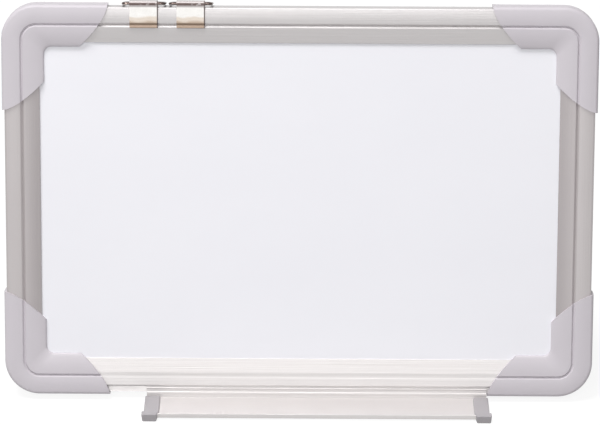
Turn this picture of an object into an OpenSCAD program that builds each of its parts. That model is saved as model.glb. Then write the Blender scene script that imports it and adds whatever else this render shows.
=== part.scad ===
// Magnetic desk whiteboard easel: an aluminium-framed steel board with moulded corner caps.
// It leans back on a folding rod leg and stands on its sliding pen tray.
// The board's parts are drawn upright, with x across, y from the rail faces backwards and
// z up from the bottom edge of the rails, and leaned() then tips them back onto the tray.
// In the comments "across" a rail means measured from its outer edge towards the board's middle.

/* [Board] */
// Width over the aluminium rails
board_w = 450; // [360:5:600]
// Height over the aluminium rails
board_h = 300; // [250:5:420]
// Angle at which the board leans back, to which the level floor of the tray is made
lean = 12; // [8:1:16]
// Thickness of the frame, front to back
frame_t = 15; // [13:0.5:20]
// Thickness of the white steel sheet
sheet_t = 0.5; // [0.3:0.1:0.8]
// Thickness of the back sheet
back_t = 0.5; // [0.3:0.1:0.8]

/* [Rails] */
// Width of a rail's face
rail_w = 27; // [25:0.5:32]
// Wall of the extrusion
rail_wall = 1.2; // [1:0.1:1.5]
// Radius of a rail's outer edge
rail_round = 2.2; // [1:0.2:3]
// Height of the swelling of the outer band
crown = 0.4; // [0.2:0.1:0.6]
// Middle of the V groove, measured across from the outer edge
groove_at = 13.5; // [13:0.25:14]
// Width of the V groove
groove_w = 3; // [2.5:0.25:3.5]
// Depth of the V groove
groove_d = 2; // [1.5:0.25:2.25]
// Fall of the face from the outer band to the edge at the board
face_drop = 2; // [1:0.25:3]
// Bevel of the rails' edge at the board
inner_bevel = 0.6; // [0.3:0.1:0.8]
// Bevel of the rails' rear outer edge
rear_bevel = 1; // [0.5:0.1:1.4]
// Extra wall beside a rail's rounded edge
edge_extra = 0.6; // [0.4:0.1:1]
// Edge of the panel, measured across from the outer edge
panel_inset = 16.4; // [16.2:0.2:18]
// Width of the lip behind the panel
back_lip = 6; // [4:0.5:9]
// Clearance between the panel's edge and the rails
panel_fit = 0.2; // [0.1:0.05:0.4]
// Cut end of a rail, measured from the frame's corner
rail_gap = 40; // [34:1:46]

/* [Corner caps] */
// Length of a cap along the outer edge
cap_leg = 81; // [76:1:90]
// How much shorter a cap is along its inner edge
cap_slant = 22; // [10:1:26]
// Curve of a cap's end, where 1 is straight
cap_curve = 1.55; // [1:0.05:2]
// Radius of the outer corner
cap_round = 27; // [24:1:30]
// Overhang beyond the rails' outer edge
cap_over = 1.9; // [1.4:0.1:2.6]
// Rise of the cap's face above the rails' face
cap_rise = 1.5; // [1.2:0.1:2]
// Lap over the board beyond the rails' inner edge
cap_lap = 3.4; // [2:0.2:5]
// Radius of the cap's outer edge
cap_edge = 4; // [2:0.5:5]
// Fall of the cap's face to its inner edge
lap_fall = 0.5; // [0.3:0.1:0.7]
// Bevel of the cap's inner edge
lap_bevel = 0.9; // [0.6:0.1:1]
// Clearance between the cap's lap and the board
lap_fit = 0.1; // [0.05:0.05:0.2]
// Bevel of the cap's rear outer edge
cap_bevel = 1.5; // [0.8:0.1:1.8]
// How much the caps' groove is narrower than the rails', at each side
groove_ease = 0.2; // [0.1:0.05:0.3]
// How much the caps' groove is shallower than the rails'
groove_less = 0.5; // [0.3:0.1:0.8]
// Wall of the cap behind the frame
cap_back = 1.5; // [1.2:0.1:2.2]
// Reach of the cap behind the frame, measured across
cap_tuck = 20; // [17:0.5:23]
// Radius of the fillet in the inner corner
cap_fillet = 6; // [3:0.5:9]
// Clearance of the caps and corner brackets round the rails
cap_fit = 0.15; // [0.1:0.05:0.25]
// Length of a corner bracket's tongue inside a rail
tongue_l = 24; // [16:1:34]
// Clearance of a corner bracket's block to the cap's flange and the rails' cut ends
block_fit = 0.1; // [0.05:0.05:0.2]
// Place of a corner screw, measured across from both edges
screw_at = 13; // [11:0.5:14]

/* [Screws] */
// Radius of a screw's shank
screw_r = 1.5; // [1.2:0.1:1.6]
// Length of a screw under its head
screw_l = 8; // [6:0.5:9]
// Radius of a screw's head
head_r = 2.8; // [2.2:0.1:3]
// Height of a screw's head
head_h = 1.6; // [1.2:0.1:2]
// Clearance round a screw's shank
screw_fit = 0.05; // [0.04:0.01:0.1]
// Length of the cross recess
recess_l = 3.6; // [2.8:0.1:4]
// Width of the cross recess
recess_w = 0.8; // [0.5:0.1:1]
// Depth of the cross recess
recess_d = 0.7; // [0.5:0.1:0.8]

/* [Pen tray] */
// Length of the tray's extrusion
tray_l = 263; // [180:1:280]
// Depth of the tray's floor, from the flange to the outside of the lip
tray_d = 36; // [26:1:50]
// Thickness of the tray's floor
floor_t = 1.3; // [1:0.1:1.8]
// Height of the front lip above the floor
lip_h = 2.6; // [2:0.1:6]
// Thickness of the front lip
lip_t = 1.4; // [1:0.1:2]
// Thickness of the flange that hangs in the bottom rail
flange_t = 1; // [0.8:0.1:1.2]
// Drop of the tray's floor below the rails
flange_drop = 4.2; // [4:0.1:6]
// Radius of the bead along the flange
bead_r = 0.7; // [0.4:0.1:0.9]
// Depth of the shelf under the bottom rail, which keeps the tray level
shelf_d = 12; // [8:0.5:13]
// Lower edge of the bottom rail's front band, above the rail's lower edge
step_at = 5.4; // [4.5:0.1:5.8]
// Radius of that edge
step_round = 0.8; // [0.5:0.1:1]
// Height of the slot behind that band, in which the tray runs
slot_h = 5; // [4.5:0.1:5.2]
// Depth of the tray's hook behind the flange
hook_d = 3; // [2:0.1:3.4]
// Height of the tray's hook
hook_h = 1.8; // [1.2:0.1:2.2]
// Clearance between the tray and the bottom rail
slide_fit = 0.2; // [0.1:0.05:0.25]
// Gap between the tray and the right cap's end, and between its end caps and its flange
end_gap = 0.3; // [0.2:0.1:0.6]
// Length of the tray's end caps
end_l = 12; // [8:0.5:18]
// Clearance of the end caps round the extrusion
end_fit = 0.1; // [0.05:0.05:0.2]
// Wall of the end caps under, before and beside the tray, on which the tray stands
end_wall = 1.2; // [1:0.1:1.8]
// Height of the end caps above the tray's floor
end_rise = 1.4; // [1:0.1:1.8]
// Depth of the end caps' front block
nose_d = 7; // [5:0.5:9]
// Sideways bulge of the end caps' front block
nose_out = 1.4; // [0.6:0.1:2.4]
// Bevel of the front block's long edges
nose_bevel = 1; // [0.5:0.1:1.4]

/* [Hangers] */
// Width of a hanger's strap
strap_w = 21.4; // [16:0.2:26]
// Thickness of the strap
strap_t = 0.6; // [0.4:0.1:0.7]
// Clearance between the strap and the top rail
strap_fit = 0.15; // [0.1:0.05:0.25]
// Length of the strap behind the rail
strap_back = 11; // [7:0.5:14]
// Reach of the strap's bent lip into the groove
hook_in = 1.35; // [0.8:0.05:1.4]
// Height of that bend above and below the middle of the groove
hook_bend = 1.8; // [1.6:0.1:2.2]
// How far the free end below it stands off the rail
hook_flare = 0.35; // [0.2:0.05:0.6]
// Length of the flared end behind the rail
tail_l = 1.6; // [1:0.1:2.4]
// Outer radius of the rolled barrel
barrel_r = 2.5; // [2.1:0.1:3]
// Gap between the barrel and the strap's two leaves where it turns away from them
roll_gap = 0.1; // [0.05:0.05:0.2]
// Radius of the ring's wire
wire_r = 1; // [0.8:0.1:1.2]
// Clearance of the wire in the barrel
wire_fit = 0.08; // [0.04:0.01:0.1]
// Width over a ring
ring_w = 33.6; // [31:0.2:34.4]
// Reach of a ring from its barrel
ring_l = 25; // [23:0.5:32]
// Gap between a resting ring and the strap's rear corner
ring_gap = 0.3; // [0.2:0.05:0.5]
// Radius of a ring's bends at the barrel
ring_bend = 2.5; // [1.8:0.1:2.6]
// Radius of a ring's bends at its far end
ring_round = 7; // [4:0.5:10]
// First hanger's middle, measured from the end of the top left cap
hanger_inset = 27.4; // [24:0.2:60]
// Distance between the hangers' middles
hanger_pitch = 35.6; // [35:0.2:80]

/* [Leg] */
// Distance between the top caps' ends and the leg brackets
bracket_drop = 11.9; // [6:0.1:20]
// Distance of the pivot behind the frame
pivot_back = 8; // [7.5:0.5:12]
// Angle of the open leg behind the vertical
leg_angle = 20; // [12:1:28]
// Radius of the leg's rod
rod_r = 2.5; // [2:0.1:3]
// Clearance of the rod's ends in their brackets
rod_fit = 0.06; // [0.04:0.01:0.1]
// Radius of the rod's bends at the brackets, along its middle line
pin_bend = 6; // [4.5:0.5:7]
// Radius of the rod's bends at the floor, along its middle line
foot_bend = 20; // [12:1:30]
// Width of a leg bracket
bracket_w = 14; // [11:0.5:15]
// Height of a leg bracket
bracket_h = 38; // [34:1:50]
// Thickness of a leg bracket's base
bracket_t = 3; // [2:0.2:3.6]
// Wall of a leg bracket round the rod's end
bracket_wall = 3; // [2:0.2:3.6]
// Distance of a leg bracket's screws from its ends
bracket_screw = 4.5; // [4:0.1:6]
// Inner side of a leg bracket, measured across
bracket_at = 15.5; // [15.2:0.1:17]
// Wall at the blind end of a leg bracket's bore
bore_end = 2; // [1.5:0.1:3]
// End play of the rod's ends in their bores
pin_play = 0.5; // [0.3:0.1:0.8]
// Length of the arm that carries the leg's stop, below the pivot
arm_l = 17; // [14:0.5:20]
// Height of the stop
stop_h = 8; // [5:0.5:10]
// How far the stop reaches past the leg
stop_past = 0.5; // [0:0.1:1]
// Clearance between the open leg and its stop
stop_gap = 0.2; // [0.1:0.05:0.3]
// Outer radius of the leg's rubber sleeves
sleeve_r = 4.5; // [3.6:0.1:6]
// Clearance of the sleeves on the rod
sleeve_fit = 0.05; // [0.02:0.01:0.1]
// Length of a rubber sleeve
sleeve_l = 40; // [20:1:60]
// Distance of a sleeve's middle from the board's middle
sleeve_x = 120; // [60:5:125]

/* [Hidden] */
$fn = 48;

aluminium = "#c4c4c6";
plastic = "#cdc6cc";
nickel = "#d8d0c6";
steel = "#9fa1a4";

// Overshoot of a cut beyond the surface that it breaks, and overlap of shapes that are joined
cut = 1;
// How far a cap's straight legs start inside its turned corner
bond = 0.2;

// Depths inside the frame, from the rail faces backwards
lip_back = face_drop + rail_wall;
panel_back = frame_t - rail_wall;
core_front = lip_back + sheet_t;
core_back = panel_back - back_t;
web_at = panel_inset - panel_fit;
void_front = crown + groove_d + rail_wall;

// The slot in the bottom rail, and the tray's hook in it
slot_front = crown + rail_wall;
ledge = slot_front + flange_t + 2 * slide_fit;
slot_top = step_at + slot_h;
flange_front = slot_front + slide_fit;
hook_top = slot_top - slide_fit;
hook_back = ledge + hook_d;
hook_low = hook_top - hook_h;
tongue_front = hook_back + slide_fit + rail_wall + cap_fit;
block_back = frame_t + cap_fit - block_fit;

// Where the caps' ends lie, and the tray and hangers between them
cap_end_x = board_w / 2 + cap_over - cap_leg;
tray_right = cap_end_x - end_gap;
tray_left = tray_right - tray_l;
hanger_left_x = -cap_end_x + hanger_inset;
hanger_right_x = hanger_left_x + hanger_pitch;

// The caps' corner: middle of its arc, and the groove pressed in the caps
arc_at = cap_round - cap_over;
cap_groove = groove_w / 2 - groove_ease;
cap_groove_d = groove_d - groove_less;
cap_inner = rail_w + cap_lap;
cap_rear = frame_t + cap_fit + cap_back;
lap_front = face_drop - cap_rise + lap_fall;

// The hangers' barrel, upright above the top rail's outer edge
barrel_d = barrel_r - strap_t - strap_fit + roll_gap;
barrel_h = barrel_r + strap_fit + roll_gap;
bore_r = wire_r + wire_fit;
ring_rest = atan2(barrel_h, frame_t - barrel_d)
  - asin((wire_r + ring_gap) / norm([barrel_h, frame_t - barrel_d]));

// Places of the leaned board over the desk
pivot_d = frame_t + pivot_back;
pivot_h = board_h + cap_over - cap_leg - bracket_drop - bracket_h / 2;
floor_z = end_wall + floor_t;
nose_top = floor_z + lip_h + end_wall;
base_z = floor_z + flange_drop * cos(lean) + flange_front * sin(lean);
pivot_z = base_z + pivot_h * cos(lean) - pivot_d * sin(lean);
leg_l = (pivot_z - sleeve_r) / cos(leg_angle);
leg_side = board_w / 2 - bracket_at - pin_bend;
reach_front = tray_d + end_wall + flange_drop * sin(lean) - flange_front * cos(lean);
reach_leg = pivot_d * cos(lean) + pivot_h * sin(lean) + leg_l * sin(leg_angle) + sleeve_r;
reach_top = (frame_t + cap_fit + cap_back) * cos(lean) + (board_h + cap_over) * sin(lean);
face_y = (reach_front - max(reach_leg, reach_top)) / 2;
floor_y = face_y + flange_front * cos(lean) - flange_drop * sin(lean);
pivot_y = face_y + pivot_d * cos(lean) + pivot_h * sin(lean);

// Tips the upright board back and sets it over the desk
module leaned() translate([0, face_y, base_z]) rotate([-lean, 0, 0]) children();

// Extrudes a section drawn as depth and height along the width
module along_x(from, to) translate([from, 0, 0]) rotate([90, 0, 90]) linear_extrude(to - from) children();

// Extrudes a plan drawn as width and height along the depth
module along_y(from, to) translate([0, to, 0]) rotate([90, 0, 0]) linear_extrude(to - from) children();

// Swaps the two axes of a flat shape
module swapped() mirror([1, -1, 0]) children();

module flip_x(on) if (on) mirror([1, 0, 0]) children(); else children();

module flip_z(on) if (on) mirror([0, 0, 1]) children(); else children();

// Places what is drawn at the lower left corner of the rails at any of the four corners
module at_corner(right, top) leaned()
  translate([right ? board_w / 2 : -board_w / 2, 0, top ? board_h : 0])
    flip_x(right) flip_z(top) children();

// Points of a rail's face, as [across, depth]: rounded edge, swollen band, groove and slope
function face_line(edge, lift, round, groove_half, groove_deep) =
  let (band_from = edge + round, band_to = groove_at - groove_half, half = (band_to - band_from) / 2)
  concat(
    [for (t = [0:15:75]) [band_from - round * cos(t), crown - lift + round * (1 - sin(t))]],
    [for (s = [-1:0.25:1]) [band_from + half * (1 + s), crown * s * s - lift]],
    [[groove_at, crown - lift + groove_deep], [groove_at + groove_half, crown - lift]]);

// A list of points in the opposite order
function reversed(points) = [for (i = [len(points) - 1:-1:0]) points[i]];

// Section of a plain rail's outside, as [across, depth], from a given outer edge
module rail_outline(edge, round) polygon(concat(
  face_line(edge, 0, round, groove_w / 2, groove_d),
  [[rail_w - inner_bevel, face_drop], [rail_w, face_drop + inner_bevel], [rail_w, lip_back],
   [web_at, lip_back], [web_at, panel_back], [web_at + back_lip, panel_back],
   [web_at + back_lip, frame_t], [edge + rear_bevel, frame_t], [edge, frame_t - rear_bevel]]));

// Section of the top and side rails
module rail_section() difference() {
  rail_outline(0, rail_round);
  translate([rail_wall, void_front]) square([web_at - 2 * rail_wall, panel_back - void_front]);
  translate([rail_wall + edge_extra, crown + rail_wall])
    square([groove_at - groove_w / 2 - 2 * rail_wall - edge_extra, void_front - crown - rail_wall + cut]);
}

// Section of the bottom rail: its front band stops above a ledge, and hides the tray's slot
module bottom_section() difference() {
  union() {
    rail_outline(step_at, step_round);
    translate([0, ledge]) square([step_at + rear_bevel + cut, frame_t - ledge]);
  }
  translate([step_at - cut, slot_front]) square([slot_h + cut, ledge - slot_front]);
  translate([hook_low - slide_fit, slot_front])
    square([slot_top - hook_low + slide_fit, hook_back + slide_fit - slot_front]);
  translate([rail_wall, tongue_front - cap_fit])
    square([web_at - 2 * rail_wall, panel_back - tongue_front + cap_fit]);
  translate([rail_wall, ledge + rail_wall])
    square([hook_low - slide_fit - 2 * rail_wall, tongue_front - cap_fit - ledge - rail_wall + cut]);
}

// One flat sheet or board of the panel, between two depths
module panel_layer(from, to) leaned()
  translate([-board_w / 2 + panel_inset, from, panel_inset])
    cube([board_w - 2 * panel_inset, to - from, board_h - 2 * panel_inset]);

module writing_sheet() color("#eeeef2") panel_layer(lip_back, core_front);

module panel_core() color("#d9c7a4") panel_layer(core_front, core_back);

module back_sheet() color("#b9bcc0") panel_layer(core_back, panel_back);

module top_rail() color(aluminium) leaned() translate([0, 0, board_h]) mirror([0, 0, 1])
  along_x(-board_w / 2 + rail_gap, board_w / 2 - rail_gap) swapped() rail_section();

module bottom_rail() color(aluminium) leaned()
  along_x(-board_w / 2 + rail_gap, board_w / 2 - rail_gap) swapped() bottom_section();

// A side rail at the left, with the two holes that take a leg bracket's screws
module side_rail() translate([-board_w / 2, 0, 0]) difference() {
  translate([0, 0, rail_gap]) linear_extrude(board_h - 2 * rail_gap) rail_section();
  bracket_screws_at() translate([0, 0, -screw_l - cut]) cylinder(r = screw_r + screw_fit, h = screw_l);
}

module left_rail() color(aluminium) leaned() side_rail();

module right_rail() color(aluminium) leaned() mirror([1, 0, 0]) side_rail();

// How far a cap reaches along its edge, at a distance across
function cap_reach(across) = cap_leg - cap_over
  - cap_slant * pow((across + cap_over) / (cap_inner + cap_over), cap_curve);

// Section of a cap, as [across, depth]: face, lap over the board, inside, and flange behind
cap_points = concat(
  face_line(-cap_over, cap_rise, cap_edge, cap_groove, cap_groove_d),
  [[cap_inner - lap_bevel, lap_front], [cap_inner, lap_front + lap_bevel],
   [cap_inner, lip_back - lap_fit], [rail_w + cap_fit, lip_back - lap_fit],
   [rail_w + cap_fit, face_drop - cap_fit]],
  reversed(face_line(-cap_fit, cap_fit, rail_round, cap_groove - groove_ease, cap_groove_d)),
  [[-cap_fit, cap_rear - cap_back], [cap_tuck, cap_rear - cap_back], [cap_tuck, cap_rear],
   [cap_bevel - cap_over, cap_rear], [-cap_over, cap_rear - cap_bevel]]);

// Plan of a cap's straight leg along x, with its slanted and curved end
module leg_plan() polygon(concat(
  [[arc_at - bond, -cap_over - cut]],
  [for (i = [0:8]) let (q = -cap_over + i / 8 * (cap_inner + cap_over)) [cap_reach(q), q]],
  [[cap_reach(cap_inner), cap_inner + cut], [arc_at - bond, cap_inner + cut]]));

// The part of a closed line of points that lies across less than a limit
function clipped(points, limit) = [for (i = [0:len(points) - 1])
  let (p = points[i], q = points[(i + 1) % len(points)])
  each concat(p[0] <= limit ? [p] : [], (p[0] - limit) * (q[0] - limit) >= 0 ? []
    : [[limit, p[1] + (q[1] - p[1]) * (limit - p[0]) / (q[0] - p[0])]])];

// Turns a section round the corner, as far across as the middle of the corner's arc
module corner_turn(points) translate([arc_at, 0, arc_at]) rotate([-90, 0, 0]) rotate([0, 0, 90])
  rotate_extrude(angle = 90)
    polygon([for (p = reversed(clipped(points, arc_at))) [arc_at - p[0], p[1]]]);

// A corner cap at the lower left corner
module corner_cap() color(plastic) difference() {
  union() {
    intersection() {
      along_x(arc_at - bond, cap_leg) swapped() polygon(cap_points);
      along_y(-frame_t, 2 * frame_t) leg_plan();
    }
    intersection() {
      translate([0, 0, arc_at - bond]) linear_extrude(cap_leg - arc_at + bond) polygon(cap_points);
      along_y(-frame_t, 2 * frame_t) swapped() leg_plan();
    }
    corner_turn(cap_points);
    along_y(lap_front + lap_bevel / 2, lip_back - lap_fit) difference() {
      translate([cap_inner - lap_bevel, cap_inner - lap_bevel]) square(cap_fillet + lap_bevel);
      translate([cap_inner + cap_fillet, cap_inner + cap_fillet]) circle(cap_fillet);
    }
  }
  corner_screw_at() translate([0, 0, -cap_back - cut])
    cylinder(r = screw_r + screw_fit, h = cap_back + 2 * cut);
}

// Axis of the screw that holds a cap, pointing backwards out of the cap's rear face
module corner_screw_at() translate([screw_at, cap_rear, screw_at]) rotate([-90, 0, 0]) children();

// An angle bracket inside a corner: a block behind the cap and a tongue in each of two rails
module corner_bracket() color(steel) difference() {
  union() {
    corner_turn(bracket_points(block_back));
    along_x(arc_at, rail_gap - block_fit) swapped() polygon(bracket_points(block_back));
    translate([0, 0, arc_at]) linear_extrude(rail_gap - block_fit - arc_at)
      polygon(bracket_points(block_back));
    along_x(arc_at, rail_gap + tongue_l) swapped() polygon(bracket_points(panel_back - cap_fit));
    translate([0, 0, arc_at]) linear_extrude(rail_gap + tongue_l - arc_at)
      polygon(bracket_points(panel_back - cap_fit));
  }
  translate([web_at, 0, web_at]) cube([rail_gap, 2 * frame_t, rail_gap]);
  corner_screw_at() translate([0, 0, -frame_t]) cylinder(r = screw_r + screw_fit, h = frame_t + cut);
}

// Section of a corner bracket up to a given depth, as [across, depth]
function bracket_points(back) = let (near = rail_wall + cap_fit, away = web_at - rail_wall - cap_fit)
  [[near, tongue_front], [away, tongue_front], [away, back], [near, back]];

module corner_cap_top_left() at_corner(false, true) corner_cap();

module corner_cap_top_right() at_corner(true, true) corner_cap();

module corner_cap_bottom_left() at_corner(false, false) corner_cap();

module corner_cap_bottom_right() at_corner(true, false) corner_cap();

module corner_bracket_top_left() at_corner(false, true) corner_bracket();

module corner_bracket_top_right() at_corner(true, true) corner_bracket();

module corner_bracket_bottom_left() at_corner(false, false) corner_bracket();

module corner_bracket_bottom_right() at_corner(true, false) corner_bracket();

// A pan-head screw, with its head standing on the ground plane and its shank below
module screw() {
  translate([0, 0, -screw_l]) cylinder(r = screw_r, h = screw_l + head_h / 4);
  difference() {
    cylinder(r = head_r, h = head_h);
    translate([-recess_w / 2, -recess_l / 2, head_h - recess_d]) cube([recess_w, recess_l, cut]);
    translate([-recess_l / 2, -recess_w / 2, head_h - recess_d]) cube([recess_l, recess_w, cut]);
  }
}

module corner_screws() color(steel)
  for (right = [false, true]) for (top = [false, true])
    at_corner(right, top) corner_screw_at() screw();

// The tray's floor and front lip, level over the desk, grown by a clearance on every side
module tray_floor_section(grow) translate([floor_y - tray_d, floor_z]) {
  translate([-grow, -floor_t - grow]) square([tray_d + flange_t / 2 + grow, floor_t + 2 * grow]);
  translate([-grow, -floor_t - grow]) square([lip_t + 2 * grow, floor_t + lip_h + 2 * grow]);
}

// The tray's flange with its bead, the hook in the rail's slot and the shelf under the rail
module tray_flange_section() {
  translate([flange_front, -flange_drop - floor_t / 2])
    square([flange_t, hook_top + flange_drop + floor_t / 2]);
  translate([flange_front, hook_low]) square([hook_back - flange_front - slide_fit, hook_h]);
  translate([flange_front, (step_at - slide_fit) / 2]) circle(bead_r);
  translate([flange_front, -slide_fit - rail_wall]) square([shelf_d, rail_wall]);
}

module tray_channel() color(aluminium) {
  along_x(tray_left, tray_right) tray_floor_section(0);
  leaned() along_x(tray_left, tray_right) tray_flange_section();
}

// A moulded end cap at the tray's right end, with a pocket for the extrusion's floor and lip
module tray_cap() color("#b9b3b8") difference() {
  union() {
    along_x(tray_right - end_l + end_wall, tray_right + end_wall) end_outline();
    along_x(tray_right - end_l + end_wall, tray_right + end_wall + nose_out)
      translate([floor_y - tray_d - end_wall, 0])
        polygon([[0, nose_bevel], [nose_bevel, 0], [nose_d, 0], [nose_d, floor_z + end_rise],
                 [nose_d - nose_bevel, nose_top], [nose_bevel, nose_top], [0, nose_top - nose_bevel]]);
  }
  along_x(tray_right - end_l, tray_right + end_fit) tray_floor_section(end_fit);
}

// Side view of the end cap's slab, which stops short of the flange and the rail
module end_outline() translate([floor_y - tray_d - end_wall, 0])
  square([tray_d + end_wall - end_gap, floor_z + end_rise]);

module tray_cap_right() tray_cap();

module tray_cap_left() translate([tray_left + tray_right, 0, 0]) mirror([1, 0, 0]) tray_cap();

// Side view of a hanger's strap, from the top rail's outer edge: a leaf with a bent lip in the
// groove, a rolled barrel, a strip over the rail and a leaf behind it
module strap_section() difference() {
  union() {
    polygon([[-strap_fit - strap_t, barrel_h], [-strap_fit - strap_t, hook_bend - groove_at],
      [hook_in - strap_t, -groove_at], [-strap_fit - hook_flare - strap_t, -groove_at - hook_bend],
      [-strap_fit - hook_flare, -groove_at - hook_bend], [hook_in, -groove_at],
      [-strap_fit, hook_bend - groove_at], [-strap_fit, barrel_h]]);
    translate([barrel_d, barrel_h]) circle(barrel_r);
    translate([barrel_d, strap_fit]) square([frame_t + strap_fit + strap_t - barrel_d, strap_t]);
    translate([frame_t + strap_fit, -strap_back]) square([strap_t, strap_back + strap_fit + strap_t]);
    translate([frame_t + strap_fit, -strap_back])
      polygon([[0, cut], [strap_t, -tail_l], [2 * strap_t, -tail_l], [strap_t, cut]]);
  }
  translate([barrel_d, barrel_h]) circle(bore_r);
}

module strap(x) color(nickel) leaned() translate([0, 0, board_h])
  along_x(x - strap_w / 2, x + strap_w / 2) strap_section();

module hanger_strap_left() strap(hanger_left_x);

module hanger_strap_right() strap(hanger_right_x);

// A quarter bend of round rod that starts along +x at the origin and turns to -z. Inside the rod,
// a thinner core runs on from both its ends and bonds it to the straights
module bend(bend_r, rod) {
  translate([0, 0, -bend_r]) rotate([90, 0, 0])
    rotate_extrude(angle = 90) translate([bend_r, 0]) circle(rod);
  translate([-rod / 2, 0, 0]) rotate([0, 90, 0]) cylinder(r = rod / 2, h = rod);
  translate([bend_r, 0, -bend_r - rod / 2]) cylinder(r = rod / 2, h = rod);
}

// A closed frame of round rod in the plane of x and z, hung from a run at the origin: half its
// width to the rod's middle, its height likewise, and the radii of its upper and lower bends
module rod_side(half, high, upper, lower, rod) {
  translate([half - upper, 0, 0]) bend(upper, rod);
  translate([half, 0, lower - high]) cylinder(r = rod, h = high - lower - upper);
  translate([half - lower, 0, -high]) mirror([0, 0, 1]) bend(lower, rod);
}

// A straight run of round rod along x, to the same distance on both sides of the middle
module rod_run(half, rod) translate([-half, 0, 0]) rotate([0, 90, 0]) cylinder(r = rod, h = 2 * half);

// A ring lying back over the rail, hung in its strap's barrel
module ring(x) color(nickel) leaned() translate([x, barrel_d, board_h + barrel_h])
  rotate([90 - ring_rest, 0, 0]) {
    half = ring_w / 2 - wire_r;
    rod_run(half - ring_bend, wire_r);
    for (left = [false, true])
      flip_x(left) rod_side(half, ring_l - wire_r, ring_bend, ring_round, wire_r);
    translate([0, 0, wire_r - ring_l]) rod_run(half - ring_round, wire_r);
  }

module hanger_ring_left() ring(hanger_left_x);

module hanger_ring_right() ring(hanger_right_x);

// The axes of the two screws that hold a leg bracket at the left, pointing backwards out of it
module bracket_screws_at() for (side = [-1, 1])
  translate([bracket_at - bracket_w / 2, frame_t + bracket_t,
      pivot_h + side * (bracket_h / 2 - bracket_screw)])
    rotate([-90, 0, 0]) children();

// A leg bracket on the left rail: base, boss with a blind bore, and the arm that stops the leg
module leg_bracket() translate([-board_w / 2, 0, 0]) difference() {
  union() {
    translate([bracket_at - bracket_w, frame_t, pivot_h - bracket_h / 2])
      cube([bracket_w, bracket_t, bracket_h]);
    translate([bracket_at - bracket_w, 0, 0]) along_x(0, bracket_w) {
      translate([pivot_d, pivot_h]) circle(rod_r + bracket_wall);
      translate([frame_t + cut, pivot_h - rod_r - bracket_wall])
        square([pivot_back - cut, 2 * (rod_r + bracket_wall)]);
    }
    translate([bracket_at - bracket_w, pivot_d, pivot_h]) rotate([lean + leg_angle, 0, 0]) {
      translate([bracket_w / 2, -rod_r, -arm_l])
        cube([bracket_w / 2, 2 * rod_r + bracket_wall, arm_l]);
      translate([bracket_w - cut, rod_r + stop_gap, -arm_l])
        cube([cut + pin_bend + rod_r + stop_past, bracket_wall - stop_gap, stop_h]);
    }
  }
  translate([bracket_at - bracket_w + bore_end, pivot_d, pivot_h]) rotate([0, 90, 0])
    cylinder(r = rod_r + rod_fit, h = bracket_w);
  bracket_screws_at() translate([0, 0, -bracket_t - cut])
    cylinder(r = screw_r + screw_fit, h = bracket_t + 2 * cut);
}

module leg_bracket_left() color("#8d8a90") leaned() leg_bracket();

module leg_bracket_right() color("#8d8a90") leaned() mirror([1, 0, 0]) leg_bracket();

module leg_bracket_screws() color(steel) leaned() for (right = [false, true])
  flip_x(right) translate([-board_w / 2, 0, 0])
    bracket_screws_at() screw();

// Places what is drawn hanging straight down from the pivot as the open leg
module opened() translate([0, pivot_y, pivot_z]) rotate([leg_angle, 0, 0]) children();

// One half of the leg's bent rod without its foot bar: the end in its bracket, and a side
module half_leg() {
  pin_l = bracket_w - bore_end - pin_play;
  translate([leg_side + pin_bend, 0, 0]) rotate([0, 90, 0]) cylinder(r = rod_r, h = pin_l);
  translate([leg_side + pin_bend, 0, 0]) mirror([1, 0, 0]) bend(pin_bend, rod_r);
  translate([leg_side, 0, foot_bend - leg_l]) cylinder(r = rod_r, h = leg_l - foot_bend - pin_bend);
  translate([leg_side - foot_bend, 0, -leg_l]) mirror([0, 0, 1]) bend(foot_bend, rod_r);
}

module leg_rod() color(steel) opened() {
  for (left = [false, true]) flip_x(left) half_leg();
  translate([0, 0, -leg_l]) rod_run(leg_side - foot_bend, rod_r);
}

module sleeve(x) color("#3c3c40") opened() translate([x - sleeve_l / 2, 0, -leg_l])
  rotate([0, 90, 0]) difference() {
    cylinder(r = sleeve_r, h = sleeve_l);
    translate([0, 0, -cut]) cylinder(r = rod_r + sleeve_fit, h = sleeve_l + 2 * cut);
  }

module leg_sleeve_left() sleeve(-sleeve_x);

module leg_sleeve_right() sleeve(sleeve_x);

writing_sheet();
panel_core();
back_sheet();
top_rail();
bottom_rail();
left_rail();
right_rail();
corner_cap_top_left();
corner_cap_top_right();
corner_cap_bottom_left();
corner_cap_bottom_right();
corner_bracket_top_left();
corner_bracket_top_right();
corner_bracket_bottom_left();
corner_bracket_bottom_right();
corner_screws();
tray_channel();
tray_cap_left();
tray_cap_right();
hanger_strap_left();
hanger_ring_left();
hanger_strap_right();
hanger_ring_right();
leg_bracket_left();
leg_bracket_right();
leg_bracket_screws();
leg_rod();
leg_sleeve_left();
leg_sleeve_right();
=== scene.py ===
import math

import bmesh
import bpy
import numpy as np
from mathutils import Matrix


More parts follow.
